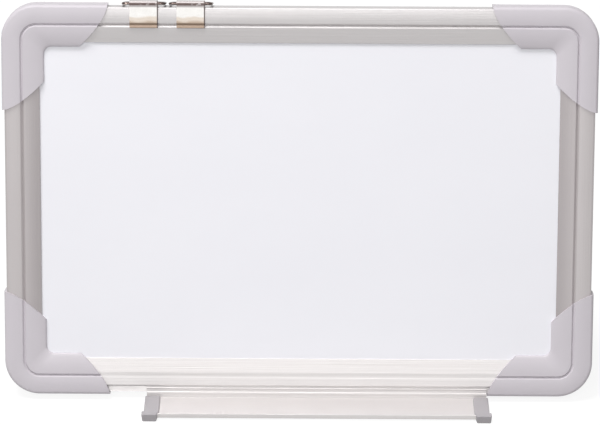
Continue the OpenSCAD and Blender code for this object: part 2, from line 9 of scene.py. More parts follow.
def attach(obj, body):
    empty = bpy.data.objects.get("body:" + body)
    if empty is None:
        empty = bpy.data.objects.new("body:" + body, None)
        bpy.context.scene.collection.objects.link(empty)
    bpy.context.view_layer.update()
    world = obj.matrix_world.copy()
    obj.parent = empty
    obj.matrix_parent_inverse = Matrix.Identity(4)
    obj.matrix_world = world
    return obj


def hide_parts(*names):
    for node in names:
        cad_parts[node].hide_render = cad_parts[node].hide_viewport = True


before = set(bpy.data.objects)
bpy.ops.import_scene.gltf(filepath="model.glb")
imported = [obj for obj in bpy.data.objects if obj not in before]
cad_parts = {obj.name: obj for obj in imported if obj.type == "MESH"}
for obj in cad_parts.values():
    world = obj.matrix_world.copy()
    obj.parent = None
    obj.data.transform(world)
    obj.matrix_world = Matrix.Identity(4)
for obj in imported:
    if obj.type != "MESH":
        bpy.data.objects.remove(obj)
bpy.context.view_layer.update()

# The view: a long lens in front of the board and a little above it, as in the photograph.
# The board's parts are worked out upright and in millimetres, with x across, d backwards from
# the rails' faces and h up from their bottom edge, and are then tipped back onto the desk.
MM = 0.001
LEAN = math.radians(12)
FACE_Y = -48.4971  # where the rails' lower front edge stands
BASE_Z = 6.98246  # how high that edge is over the desk
EYE = (9.466, -2444.04, 631.114)
LOOK_DOWN = math.radians(11.3029)
LOOK_ASIDE = math.radians(-0.2091)
ROLL = math.radians(0.2796)
LENS = 195.4
SIGHT = 20  # how far the camera sees, in metres


def leaned(x, d, h):
    """World place of an upright point: depth and height turn by the lean about the rails' lower
    front edge, and that edge then moves to its place over the desk."""
    x, d, h = np.broadcast_arrays(x, d, h)
    back = FACE_Y + d * math.cos(LEAN) + h * math.sin(LEAN)
    up = BASE_Z + h * math.cos(LEAN) - d * math.sin(LEAN)
    return np.stack([x, back, up], axis=-1).astype(float)


def camera_axes():
    """The camera's right, up and back, upright: the way it looks is turned aside and then down, and
    the level way across and the way over both are turned about it by the roll."""
    level = math.cos(LOOK_DOWN)
    ahead = np.array([math.sin(LOOK_ASIDE) * level, math.cos(LOOK_ASIDE) * level, -math.sin(LOOK_DOWN)])
    across = np.array([math.cos(LOOK_ASIDE), -math.sin(LOOK_ASIDE), 0.0])
    over = np.cross(across, ahead)
    right = across * math.cos(ROLL) + over * math.sin(ROLL)
    up = over * math.cos(ROLL) - across * math.sin(ROLL)
    return right, up, -ahead


def set_down(piece, axes, place):
    """Puts a camera or a lamp in the scene, with its own three axes, at a place in metres."""
    piece.matrix_world = Matrix([[*(a[i] for a in axes), place[i]] for i in range(3)] + [[0, 0, 0, 1]])
    bpy.context.collection.objects.link(piece)


camera = bpy.data.objects.new("camera", bpy.data.cameras.new("camera"))
camera.data.lens = LENS
camera.data.clip_end = SIGHT
set_down(camera, [leaned(*axis) - leaned(0, 0, 0) for axis in camera_axes()], leaned(*EYE) * MM)
bpy.context.scene.camera = camera

# Rails: anodised aluminium extrusions with a swollen outer band, a V groove and a face that
# slopes to the board. They are drawn through a die, which leaves fine lines along them, and
# are cut square under the caps. The bottom rail's front band stops above a ledge and a slot.
BOARD_W = 450.0
BOARD_H = 300.0
HALF_W = BOARD_W / 2
FRAME_T = 15.0
RAIL_W = 27.0
RAIL_GAP = 40.0  # from the outline's corner to a rail's cut end
CROWN = 0.4  # how far a band swells forward, and how deep its edges lie
GROOVE_AT = 13.5
GROOVE_HALF = 1.5
FACE_DROP = 2.0  # depth of the face beside the board
PANEL_D = 3.2  # depth of the board's face
PANEL_IN = 16.2  # where the board's edge ends in the rail
WALL = 1.2
BACK_LIP = 22.2
UNDERCUT = 0.5
REAR_CUT = 1.0
BAND_FOOT = 5.4  # the bottom rail's band stops this far over its lower edge
BAND_BACK = 1.6
LEDGE_D = 3.0
SLOT_MOUTH = (8.4, 5.2)
SLOT_END = (10.4, 6.2)
SMALL_EDGE = 0.15
# Where painted light and shade change the rails' colour: a painted highlight on the bottom rail's outer
# band and on the side rails' outer bands, and painted shade on the bottom rail's ledge, the top rail's
# slope and the side rails' slopes down to the board.
BOTTOM_BAND_AT, BOTTOM_LEDGE_AT = (-285.5, -287.5), (-294.4, -295.0)  # up from the top edge
TOP_SLOPE_AT = (-13.0, -15.0)
UP_BAND_AT, UP_SLOPE_AT = (211.0, 214.0), (214.0, 198.0)  # out from the middle
ALONG_X = (9, 1500, 1500)  # die lines a metre: few along the rail and many across it
ALONG_Z = (1500, 1500, 9)
# The rails are one extrusion, but each way of lying gets its own colour as painted light and shade: the
# bottom rail and the tray lightest, the top rail darker and the side rails darkest.
ACROSS_LOW, ACROSS_HIGH = (0.59, 0.565, 0.56), (0.67, 0.645, 0.64)
PAINTED_LIGHT_BOTTOM_BAND, PAINTED_SHADE_BOTTOM_LEDGE = (0.79, 0.762, 0.757), (0.49, 0.47, 0.465)
TOP_LOW, TOP_HIGH = (0.495, 0.475, 0.475), (0.575, 0.555, 0.555)
PAINTED_SHADE_TOP_SLOPE = (0.46, 0.44, 0.44)
UP_LOW, UP_HIGH = (0.42, 0.388, 0.39), (0.48, 0.448, 0.45)
PAINTED_LIGHT_UP_BAND, PAINTED_SHADE_UP_SLOPE = (0.49, 0.462, 0.462), (0.27, 0.245, 0.25)


class Value:
    """A socket of a shader, whose arithmetic adds Math nodes."""

    def __init__(self, finish, socket):
        self.finish = finish
        self.socket = socket

    def math(self, operation, *terms):
        sockets = {f"i{n}": term for n, term in enumerate(terms)}
        return self.finish.node("Math", {"operation": operation}, **sockets)

    def __add__(self, other):
        return self.math("ADD", self, other)

    def __sub__(self, other):
        return self.math("SUBTRACT", self, other)

    def __rsub__(self, other):
        return self.math("SUBTRACT", other, self)

    def __mul__(self, other):
        return self.math("MULTIPLY", self, other)

    def __truediv__(self, other):
        return self.math("DIVIDE", self, other)

    def __rtruediv__(self, other):
        return self.math("DIVIDE", other, self)

    def __abs__(self):
        return self.math("ABSOLUTE", self)

    __radd__, __rmul__ = __add__, __mul__


class Finish:
    """The shader of a material, or of the room's world, built up from node() and arithmetic."""

    def __init__(self, name, world=None, **constants):
        self.material = bpy.data.materials.new(name) if world is None else None
        owner = self.material if world is None else world
        owner.use_nodes = True
        self.nodes = owner.node_tree.nodes
        self.links = owner.node_tree.links
        self.shader = self.nodes["Principled BSDF" if world is None else "Background"]
        for socket, value in constants.items():
            self.set(socket, value)

    def set(self, socket, value):
        """Sets or links a socket of the main shader; underscores stand for spaces."""
        self.fill(self.shader.inputs[socket.replace("_", " ")], value)
        return self

    def fill(self, socket, value):
        """Links a value to a socket, or sets the socket to a number or a colour."""
        if isinstance(value, Value):
            self.links.new(value.socket, socket)
        elif isinstance(value, (tuple, list)) and len(value) == 3 and socket.type == "RGBA":
            socket.default_value = (*value, 1)
        else:
            socket.default_value = value

    def node(self, kind, settings=None, out=0, **sockets):
        """Adds a node of a kind, sets its settings, then its sockets: iN is the Nth, others by name."""
        made = self.nodes.new("ShaderNode" + kind)
        for key, value in (settings or {}).items():
            if key == "stops":
                for element, (at, shade) in zip(made.color_ramp.elements, value):
                    element.position = at
                    element.color = (shade,) * 3 + (1,)
            else:
                setattr(made, key, value)
        for key, value in sockets.items():
            numbered = key[0] == "i" and key[1:].isdigit()
            self.fill(made.inputs[int(key[1:]) if numbered else key.replace("_", " ")], value)
        return Value(self, made.outputs[out])

    def place(self, turn=(0, 0, 0), scale=(1, 1, 1)):
        """Object coordinates, turned and then scaled."""
        where = self.node("TexCoord", out=3)
        turned = self.node("Mapping", {"vector_type": "POINT"}, Vector=where, Rotation=turn)
        return self.node("Mapping", {"vector_type": "POINT"}, Vector=turned, Scale=scale)

    def grain(self, where, size, detail=2.0, rough=0.5):
        """Noise from 0 to 1 whose lumps are about 1 / size metres apart."""
        return self.node("TexNoise", {"noise_dimensions": "3D"}, Vector=where, Scale=size, Detail=detail,
                         Roughness=rough)

    def blend(self, share, low, high):
        """A colour that runs from low to high as share runs from 0 to 1."""
        return self.node("Mix", {"data_type": "RGBA", "clamp_factor": True}, out=2,
                         i0=share, i6=low, i7=high)

    def ramp(self, value, start, stop):
        """Black where a value is at start and white where it is at stop, straight between."""
        return self.node("ValToRGB", {"stops": [(start, 0.0), (stop, 1.0)]}, Fac=value)

    def relief(self, height, depth, strength=1.0):
        """Bumps the surface by a height from 0 to 1, depth metres deep."""
        return self.set("Normal", self.node("Bump", Strength=strength, Distance=depth, Height=height))


def smooth(piece):
    """Rounded shading that keeps large flat faces flat: edges of over 35 degrees stay sharp, and
    elsewhere normals are weighted by the faces' areas."""
    piece.data.shade_smooth()
    piece.data.set_sharp_from_angle(angle=math.radians(35))
    weighted = piece.modifiers.new("weighted", "WEIGHTED_NORMAL")
    weighted.weight = 100
    weighted.keep_sharp = True
    return piece


def skin(name, rings, finish, closed=False, extra=(), lids=True):
    """A surface of quads through rings[i, j], in millimetres: i runs along it and j round it. Each
    ring closes on itself; the stack closes too if closed, and otherwise ends in two flat lids, or
    in the extra faces. Faces are turned round if the volume that they enclose is negative."""
    count, around = rings.shape[:2]
    i = np.arange(count if closed else count - 1)[:, None]
    j = np.arange(around)[None, :]
    k, m = (i + 1) % count, (j + 1) % around
    corners = i * around + j, i * around + m, k * around + m, k * around + j
    quads = np.stack(np.broadcast_arrays(*corners), -1).reshape(-1, 4)
    points = rings.reshape(-1, 3)
    a, b, c, d = (points[quads[:, n]] - points.mean(0) for n in range(4))
    volume = np.einsum("ij,ij->", a, np.cross(b, c)) + np.einsum("ij,ij->", a, np.cross(c, d))
    faces = quads.tolist()
    if not closed and lids:
        faces += [list(range(around))[::-1], list(range((count - 1) * around, count * around))]
    faces += [list(f) for f in extra]
    if volume < 0:
        faces = [f[::-1] for f in faces]
    mesh = bpy.data.meshes.new(name)
    mesh.from_pydata((points * MM).tolist(), [], faces)
    mesh.update()
    piece = bpy.data.objects.new(name, mesh)
    bpy.context.collection.objects.link(piece)
    mesh.materials.append(finish.material)
    return smooth(piece)


def eased(line, reach, steps=3, closed=True):
    """A line whose corners are rounded: within reach of a corner, each is replaced by a parabola that
    leaves and meets both its sides. Corners of under 20 degrees stay, and so do a closed line's inner
    ones, at which it turns against the way that it goes round its area."""
    line = np.asarray(line, float)
    before, after = np.roll(line, 1, 0) - line, np.roll(line, -1, 0) - line
    long_b, long_a = (np.linalg.norm(v, axis=1, keepdims=True) for v in (before, after))
    turn = np.einsum("ij,ij->i", before, after)[:, None] / (long_b * long_a)
    room = np.minimum(reach, 0.45 * np.minimum(long_b, long_a))
    cut = np.where(turn > -math.cos(math.radians(20)), room, 0)
    if closed:
        x, y = line.T
        way = np.sign(np.sum(x * np.roll(y, -1) - y * np.roll(x, -1)))
        bend = before[:, 1] * after[:, 0] - before[:, 0] * after[:, 1]
        cut[bend * way < 0] = 0
    else:
        cut[[0, -1]] = 0
    start, stop = line + before / long_b * cut, line + after / long_a * cut
    t = np.linspace(0, 1, steps + 1)[None, :, None]
    run = (1 - t) ** 2 * start[:, None] + 2 * t * (1 - t) * line[:, None] + t ** 2 * stop[:, None]
    run = run.reshape(-1, 2)
    return run[np.linalg.norm(run - np.roll(run, 1, 0), axis=1) > 1e-6]


def crowned(start, stop, depth, crown=CROWN):
    """A band from start to stop, as [across, depth]: a parabola that swells forward by the crown at
    its middle, from edges at a depth."""
    s = np.linspace(-1, 1, 13)
    return np.stack([start + (stop - start) * (1 + s) / 2, depth + crown * (s * s - 1)], 1)


def rail_face(edge, rounding, crown, groove, power):
    """Points of a rail's face, as [across, depth]: a quarter round, a crowned band, a V groove whose
    bottom is the groove's place and depth, and a curve that falls away to the board by a power of
    the distance."""
    start = edge + rounding
    t = np.radians(np.linspace(0, 80, 9))
    quarter = np.stack([start - rounding * np.cos(t), CROWN + rounding * (1 - np.sin(t))], 1)
    band = crowned(start, GROOVE_AT - GROOVE_HALF, CROWN, crown)
    u = np.linspace(0, 1, 9)
    slope_at = GROOVE_AT + GROOVE_HALF
    slope = np.stack([slope_at + (RAIL_W - slope_at) * u, CROWN + (FACE_DROP - CROWN) * u ** power], 1)
    return np.vstack([quarter, band, [(groove[0], CROWN + groove[1])], slope])


def stands_for(piece, body):
    """Has a piece replace the CAD node of its name without _skin and on a body."""
    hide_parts(piece.name.replace("_skin", ""))
    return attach(piece, body)


def rail(name, section, start, stop, finish, side_x=None):
    """Carries a section, as [across, depth], straight from start to stop: along x, or up a side rail
    whose outer edge is at side_x. Across then runs from the outer edge to the board."""
    loop = eased(section, SMALL_EDGE)
    ends = np.array([start, stop])[:, None]
    if side_x is None:
        rings = leaned(ends, loop[None, :, 1], loop[None, :, 0])
    else:
        rings = leaned(side_x - np.sign(side_x) * loop[None, :, 0], loop[None, :, 1], ends)
    return stands_for(skin(name, rings, finish), "board")


def upright(made):
    """Millimetres across, back and up in the board's own frame, from the middle of the top rail's
    outer edge, on Object coordinates turned by the lean."""
    turned = made.node("Mapping", {"vector_type": "POINT"}, Vector=made.node("TexCoord", out=3),
                       Rotation=(LEAN, 0, 0), Scale=(1 / MM, 1 / MM, 1 / MM))
    edge = leaned(0, 0, BOARD_H)
    back = edge[1] * math.cos(LEAN) - edge[2] * math.sin(LEAN)
    up = edge[1] * math.sin(LEAN) + edge[2] * math.cos(LEAN)
    x, y, z = (made.node("SeparateXYZ", out=n, Vector=turned) for n in range(3))
    return x, y - back, z - up


def rises(made, value, start, stop):
    """0 where a value is at start and 1 where it is at stop, smooth between and level outside."""
    return made.node("MapRange", {"interpolation_type": "SMOOTHSTEP"}, i0=value, i1=start, i2=stop,
                     i3=0.0, i4=1.0)


def aluminium(name, scale, low, high, tones=()):
    """Satin anodised aluminium: faint die lines along the extrusion, soft blotches and a few rubs. A tone
    paints light or shade: it is a way, out from the middle or up from the top edge, a pair of places
    along it, and a colour, towards which the metal turns half way from the first place to the second."""
    made = Finish(name, Metallic=0.62, IOR=1.5, Specular_IOR_Level=0.5)
    lines = made.grain(made.place(turn=(LEAN, 0, 0), scale=scale), 1.0, 4.0, 0.7)
    blotch = made.grain(made.place(), 28.0, 3.0)
    rub = made.ramp(made.grain(made.place(), 130.0, 5.0, 0.75), 0.6, 0.72)
    colour = made.blend(lines * 0.6 + blotch * 0.4, low, high)
    # Painted light and shade: each tone lightens or darkens a part of the rail.
    for way, (start, stop), tone in tones:
        x, _, h = upright(made)
        share = rises(made, abs(x) if way == "out" else h, start, stop)
        colour = made.blend(share * 0.5, colour, tone)
    made.set("Base_Color", colour)
    made.set("Roughness", 0.36 + lines * 0.12 + blotch * 0.1 + rub * 0.05)
    return made.relief(lines * 0.8 + rub * 0.2, 0.0002)


tail = [(RAIL_W - UNDERCUT, PANEL_D), (PANEL_IN, PANEL_D), (PANEL_IN, FRAME_T - WALL),
        (BACK_LIP, FRAME_T - WALL), (BACK_LIP, FRAME_T), (REAR_CUT, FRAME_T), (0, FRAME_T - REAR_CUT)]
ledge = [(0, LEDGE_D), SLOT_MOUTH, (SLOT_MOUTH[0], SLOT_END[1]), SLOT_END, (SLOT_END[0], BAND_BACK),
         (BAND_FOOT, BAND_BACK)]
side_face = rail_face(edge=0, rounding=2.2, crown=CROWN, groove=(GROOVE_AT, 1.1), power=1.4)
top_face = rail_face(edge=0, rounding=0.8, crown=CROWN, groove=(GROOVE_AT, 1.6), power=1.1)
bottom_face = rail_face(edge=BAND_FOOT, rounding=0.8, crown=0.0, groove=(12.9, 0.2), power=1.0)
side_section = np.vstack([side_face, tail])
top_section = np.vstack([top_face, tail]) * [-1, 1] + [BOARD_H, 0]
bottom_section = np.vstack([bottom_face, tail, ledge])
# Lit and shaded copies of one metal: painted light on the bottom rail and painted shade on the top and
# side rails, each with its painted tones.
aluminium_across = aluminium("aluminium_across", ALONG_X, ACROSS_LOW, ACROSS_HIGH,
                             [("up", BOTTOM_BAND_AT, PAINTED_LIGHT_BOTTOM_BAND), ("up", BOTTOM_LEDGE_AT, PAINTED_SHADE_BOTTOM_LEDGE)])
aluminium_top = aluminium("aluminium_top", ALONG_X, TOP_LOW, TOP_HIGH, [("up", TOP_SLOPE_AT, PAINTED_SHADE_TOP_SLOPE)])
aluminium_up = aluminium("aluminium_up", ALONG_Z, UP_LOW, UP_HIGH,
                         [("out", UP_BAND_AT, PAINTED_LIGHT_UP_BAND), ("out", UP_SLOPE_AT, PAINTED_SHADE_UP_SLOPE)])
rail_end = HALF_W - RAIL_GAP
rail("top_rail_skin", top_section, -rail_end, rail_end, aluminium_top)
rail("bottom_rail_skin", bottom_section, -rail_end, rail_end, aluminium_across)
rail("left_rail_skin", side_section, RAIL_GAP, BOARD_H - RAIL_GAP, aluminium_up, -HALF_W)
rail("right_rail_skin", side_section, RAIL_GAP, BOARD_H - RAIL_GAP, aluminium_up, HALF_W)

# The board: a steel sheet with white enamel in front, a raw core and a grey coated sheet behind,
# held in the rails' grooves. The enamel is baked on, so it has a faint orange peel.
ENAMEL_LOW, ENAMEL_HIGH = (0.82, 0.815, 0.86), (0.85, 0.845, 0.885)
GREY_LOW, GREY_HIGH = (0.47, 0.48, 0.50), (0.55, 0.56, 0.58)
CORE_LOW, CORE_HIGH = (0.5, 0.4, 0.24), (0.68, 0.57, 0.38)


def white_enamel():
    """White enamel, with a faint haze along the board and an orange peel about 2 mm across."""
    made = Finish("white_enamel", Metallic=0.0, Coat_Weight=0.25, Coat_Roughness=0.12)
    peel = made.grain(made.place(), 420.0, 2.0)
    haze = made.grain(made.place(turn=(LEAN, 0, 0), scale=(7, 1, 16)), 1.0, 4.0, 0.6)
    made.set("Base_Color", made.blend(haze, ENAMEL_LOW, ENAMEL_HIGH))
    made.set("Roughness", 0.24 + haze * 0.16)
    return made.relief(peel, 0.00004, 0.25)


def grey_coat():
    """A grey coat rolled onto steel: slow clouds and a fine speckle."""
    made = Finish("grey_coat", Metallic=0.0)
    cloud = made.grain(made.place(), 22.0, 4.0, 0.6)
    speck = made.grain(made.place(), 900.0, 2.0)
    made.set("Base_Color", made.blend(cloud, GREY_LOW, GREY_HIGH))
    made.set("Roughness", 0.42 + cloud * 0.15)
    return made.relief(speck, 0.00005, 0.4)


def raw_board():
    """Raw board: short brown fibres, drawn out across it."""
    made = Finish("raw_board", Metallic=0.0)
    fibre = made.grain(made.place(scale=(1, 1, 6)), 300.0, 5.0, 0.7)
    made.set("Base_Color", made.blend(fibre, CORE_LOW, CORE_HIGH))
    made.set("Roughness", 0.75 + fibre * 0.2)
    return made.relief(fibre, 0.0002)


def coat(finish, *nodes):
    """Gives CAD nodes that are shown as they are their material."""
    for node in nodes:
        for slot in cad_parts[node].material_slots:
            slot.material = finish.material


coat(white_enamel(), "writing_sheet")
coat(grey_coat(), "back_sheet")
coat(raw_board(), "panel_core")

# Corner caps: satin mouldings pushed over the rails' cut ends, with the rails' groove carried
# round the corner, slanted curved ends and a lap over the board. A screw holds each from behind.
CAP_OVER = 1.9  # how far a cap reaches out past the rails
CAP_LEG = 81.0  # length along its outer edge
CAP_SLANT = 22.0  # how much shorter it is along the lap
CAP_CURVE = 1.55  # the power by which its end curves between the two
CAP_FILLET = 6.0
ARC_AT = 25.1  # the middle of the arcs about the corner, from the rails' outer edges
CAP_OUT = 1.75  # where the section's outer wall stands
CAP_PROUD = 1.1  # how far its face stands before the rails'
CAP_WALL = 1.5
CAP_ROUND = 2.8
CAP_GROOVE_HALF = 1.3
CAP_GROOVE_D = 0.4
CAP_REAR = 16.65
CAP_CHAMFER = 1.35
FLANGE_AT = 20.0  # where the flange behind ends
LAP_AT = 30.4
LAP_D = 1.9
LAP_BACK = 3.1
LAP_CUT = 0.9
LAP_ROLL = 2.1  # the power by which the face rolls down to the lap
CAP_BEVEL = 0.25
HOLLOW_OUT = 0.15  # the hollow's measures, as the outside's
HOLLOW_D = 2.9
HOLLOW_ROUND = 2.25
HOLLOW_FACE = 0.55
HOLLOW_SLOPE = 0.5
HOLLOW_AT = 27.15
HOLLOW_STEP = (2.4, 2.5)
CAP_LOW, CAP_HIGH = (0.55, 0.515, 0.55), (0.60, 0.565, 0.60)


def moulded(name, low, high, rough=0.46):
    """Satin moulded plastic: a fine spark-eroded texture, faint flow clouds and small scuffs."""
    made = Finish(name, Metallic=0.0, Specular_IOR_Level=0.45)
    texture = made.grain(made.place(), 2600.0, 3.0, 0.6)
    flow = made.grain(made.place(), 34.0, 3.0, 0.55)
    scratched = made.grain(made.place(turn=(0, 0.5, 0), scale=(1, 1, 5)), 240.0, 4.0, 0.7)
    scuff = made.ramp(scratched, 0.64, 0.7)
    made.set("Base_Color", made.blend(flow * 0.8 + scuff * 0.2, low, high))
    made.set("Roughness", rough + flow * 0.08 + scuff * 0.06)
    return made.relief(texture, 0.00003, 0.6)


def span(start, stop, count):
    """Points evenly spaced from start up to, but without, stop."""
    return np.linspace(start, stop, count, endpoint=False)


def cap_section():
    """The cap's section as two lines with as many points each: the outside and, a wall's thickness
    in, the inside. Both run from the flange behind, round the outer edge in a quarter circle, over
    a crowned band and the groove's floor, and down to the lap: outside by a power of the distance."""
    t = np.radians(span(0, 90, 10))[:, None]
    quarter = np.hstack([np.cos(t), np.sin(t)])
    u = span(0, 1, 8)[:, None]
    band_end, slope_at = GROOVE_AT - CAP_GROOVE_HALF, GROOVE_AT + CAP_GROOVE_HALF
    shoulder = CAP_REAR - CAP_CHAMFER
    turn = CAP_ROUND - CAP_OUT, CAP_ROUND - CAP_PROUD
    cut = LAP_AT - LAP_CUT, LAP_D - LAP_CUT
    fall = (cut[1] + CAP_PROUD) * u ** LAP_ROLL
    roll = np.hstack([slope_at + (cut[0] - slope_at) * u, fall - CAP_PROUD])
    outside = [span((FLANGE_AT, CAP_REAR), (CAP_CHAMFER - CAP_OUT, CAP_REAR), 2),
               [(CAP_CHAMFER - CAP_OUT, CAP_REAR)],
               span((-CAP_OUT, shoulder), (-CAP_OUT, turn[1]), 3),
               turn - CAP_ROUND * quarter,
               crowned(turn[0], band_end, -CAP_PROUD),
               [(GROOVE_AT, CAP_GROOVE_D)],
               roll,
               span(cut, (LAP_AT, LAP_D), 2),
               [(LAP_AT, LAP_D), (LAP_AT, LAP_BACK)]]
    floor = CAP_REAR - CAP_WALL
    turn = HOLLOW_ROUND - HOLLOW_OUT, HOLLOW_D
    inside = [span((FLANGE_AT, floor), (-HOLLOW_OUT, floor), 2),
              [(-HOLLOW_OUT, floor)],
              span((-HOLLOW_OUT, FRAME_T), (-HOLLOW_OUT, HOLLOW_D), 3),
              turn - HOLLOW_ROUND * quarter,
              crowned(turn[0], band_end, HOLLOW_FACE),
              [(GROOVE_AT, CAP_GROOVE_D + CAP_WALL)],
              span((slope_at, HOLLOW_SLOPE), (HOLLOW_AT, LAP_D), 8),
              span((HOLLOW_AT, LAP_D), (HOLLOW_AT, HOLLOW_STEP[0]), 2),
              [(HOLLOW_AT, HOLLOW_STEP[1]), (HOLLOW_AT, LAP_BACK)]]
    return np.vstack(outside), np.vstack(inside)


def cap_path(q):
    """Where a line of the cap runs in the board's plane, seen from the corner: from its end along
    the bottom, round an arc and up the side. q is how far across it lies. The arc's radius is what
    is left to the corner's middle, and never less than the fillet. The ends slant by a power."""
    radius = np.maximum(ARC_AT - q, CAP_FILLET)
    middle = q + radius
    reach = CAP_LEG - CAP_OVER - CAP_SLANT * ((q + CAP_OVER) / (LAP_AT + CAP_OVER)) ** CAP_CURVE
    f = span(0, 1, 5)[:, None]
    arc = np.radians(np.linspace(0, 90, 25))[:, None]
    straight = reach + (middle - reach) * f
    along = np.concatenate([straight, middle - radius * np.sin(arc), q + 0 * f])
    up = np.concatenate([q + 0 * f, middle - radius * np.cos(arc), straight[::-1]])
    return along, up


def bevelled(piece, width, segments):
    """Bevels a piece's edges of over 40 degrees by millimetres, before its other modifiers."""
    edge = piece.modifiers.new("edge", "BEVEL")
    edge.width = width * MM
    edge.segments = segments
    edge.angle_limit = math.radians(40)
    if len(piece.modifiers) > 1:
        piece.modifiers.move(len(piece.modifiers) - 1, 0)
    return piece


cap_plastic = moulded("cap_plastic", CAP_LOW, CAP_HIGH)
cap_outside, cap_inside = cap_section()
cap_loop = np.vstack([cap_outside, cap_inside[::-1]])
cap_along, cap_up = cap_path(cap_loop[None, :, 0])
cap_points = len(cap_loop)
near = np.arange(len(cap_outside) - 1)
first_end = np.stack([near, near + 1, cap_points - 2 - near, cap_points - 1 - near], 1)
last_end = first_end[:, ::-1] + (len(cap_along) - 1) * cap_points
for side, east in (("left", -1), ("right", 1)):
    for level, north in (("bottom", -1), ("top", 1)):
        height = BOARD_H / 2 + north * (BOARD_H / 2 - cap_up)
        rings = leaned(east * (HALF_W - cap_along), cap_loop[None, :, 1], height)
        cap = skin(f"corner_cap_{level}_{side}_skin", rings, cap_plastic, lids=False,
                   extra=np.vstack([first_end, last_end]))
        stands_for(bevelled(cap, CAP_BEVEL, 2), "board")

# Corner brackets and screws: plated angles inside the corners, with a tongue in each of two
# rails, and pan-head screws that hold the caps and the leg's brackets from behind.
PLATE_LOW, PLATE_HIGH = (0.50, 0.51, 0.53), (0.66, 0.67, 0.69)


def plated_steel():
    """Dull zinc plate: cloudy patches and a fine grain."""
    made = Finish("plated_steel", Metallic=0.85)
    tarnish = made.grain(made.place(), 120.0, 4.0, 0.6)
    fine = made.grain(made.place(), 2200.0, 2.0)
    made.set("Base_Color", made.blend(tarnish, PLATE_LOW, PLATE_HIGH))
    made.set("Roughness", 0.28 + tarnish * 0.2)
    return made.relief(fine, 0.00004, 0.5)


corners = [f"{level}_{side}" for level in ("top", "bottom") for side in ("left", "right")]
coat(plated_steel(), *(f"corner_bracket_{c}" for c in corners), "corner_screws", "leg_bracket_screws")

# Pen tray: one aluminium extrusion with a level floor, a front lip and a flange that leans with
# the board. A bead runs along the flange, a hook behind it slides in the bottom rail's slot, and
# a shelf bears on the rail's underside.
TRAY_LEFT, TRAY_RIGHT = -117.4, 145.6
TRAY_D = 36.0
FLOOR_Y = -47.6097  # where the level floor ends behind
FLOOR_Z = 2.5
LIP_T = 1.4
LIP_Y = FLOOR_Y - TRAY_D + LIP_T
LIP_TOP = 5.5
FLANGE_D = 1.8
FLANGE_BACK = 2.8
SHELF_LOW, SHELF_TOP = -1.4, -0.2
SHELF_END = 13.8
HOOK_LOW, HOOK_TOP = 8.4, 10.2
HOOK_BACK = 6.0
TRAY_EDGE = 0.2
LIP_FOOT = [(0, 2.8), (0.6, 1.9), (2.4, 1.2)]  # back from the lip's front, and up
FLANGE_FOOT = [(2.3, -5.4), (FLANGE_BACK, -5.0)]
FLANGE_END = (FLANGE_D, -4.25)
UPPER_BEAD, LOWER_BEAD = (3.1, 0.8, 0.45), (-0.9, 1.3, 0.25)


def tipped(*pairs):
    """Upright pairs of depth and height as world pairs of y and z."""
    d, h = np.array(pairs, float).T
    return leaned(0, d, h)[:, 1:]


def bead(h, radius, proud):
    """Points round the front half of an ellipse on the flange, downwards."""
    t = np.radians(np.linspace(90, 270, 7))
    return [(FLANGE_D + proud * math.cos(a), h + radius * math.sin(a)) for a in t]


tray_outline = np.vstack([
    np.array(LIP_FOOT) + (LIP_Y, 0),
    tipped(*FLANGE_FOOT, (FLANGE_BACK, SHELF_LOW), (SHELF_END, SHELF_LOW), (SHELF_END, SHELF_TOP),
           (FLANGE_BACK, SHELF_TOP), (FLANGE_BACK, HOOK_LOW), (HOOK_BACK, HOOK_LOW),
           (HOOK_BACK, HOOK_TOP), (FLANGE_D, HOOK_TOP)),
    tipped(*bead(*UPPER_BEAD), *bead(*LOWER_BEAD), FLANGE_END),
    [(LIP_Y + LIP_T, FLOOR_Z), (LIP_Y + LIP_T, LIP_TOP), (LIP_Y, LIP_TOP)]])
tray_loop = eased(tray_outline, TRAY_EDGE)
tray_ends = np.array([TRAY_LEFT, TRAY_RIGHT])[:, None]
tray_rings = np.stack(np.broadcast_arrays(tray_ends, tray_loop[None, :, 0], tray_loop[None, :, 1]), -1)
# The tray takes the bottom rail's colours, which are lighter as painted light.
aluminium_tray = aluminium("aluminium_tray", ALONG_X, ACROSS_LOW, ACROSS_HIGH)
stands_for(skin("tray_channel_skin", tray_rings, aluminium_tray), "tray")

# The tray's end caps: satin mouldings pressed over its ends, on which it stands. Each is a slab
# that thickens and bulges sideways into a block in front, with soft edges all round.
END_L = 11.7
END_WALL = 1.2
END_BACK = 0.3  # how far they stop before the floor's end
SLAB_TOP = 3.9
NOSE_TOP = 6.3
NOSE_OUT = 1.4
NOSE_IN = 0.9
NOSE_PINCH = 0.12  # share by which it narrows towards its underside
SOFT = 0.9
BULGE_AT, RISE_AT, TAPER_AT = (10.5, 6.0), (7.0, 5.4), (8.0, 0.0)  # from the front face
END_LOW, END_HIGH = (0.33, 0.31, 0.325), (0.39, 0.37, 0.385)


def eases(value, start, stop):
    """The smooth step 3 t^2 - 2 t^3 of how far a value is from start to stop, held at 0 and 1."""
    t = np.clip((value - start) / (stop - start), 0, 1)
    return t * t * (3 - 2 * t)


def rounded(x0, x1, z0, z1, radius):
    """Rings of rounded rectangles, [ring, point, (x, z)]: four quarter circles of a radius, whose
    centres lie that far inside each ring's sides."""
    a = np.radians(np.linspace(0, 90, 6)[None, :] + 90 * np.arange(4)[:, None])
    east, top = np.array([True, False, False, True]), np.array([True, True, False, False])
    x = np.where(east[None, :], (x1 - radius)[:, None], (x0 + radius)[:, None])
    z = np.where(top[None, :], (z1 - radius)[:, None], (z0 + radius)[:, None])
    r = radius[:, None, None]
    arcs = np.stack([x[..., None] + r * np.cos(a), z[..., None] + r * np.sin(a)], -1)
    return arcs.reshape(len(x0), -1, 2)


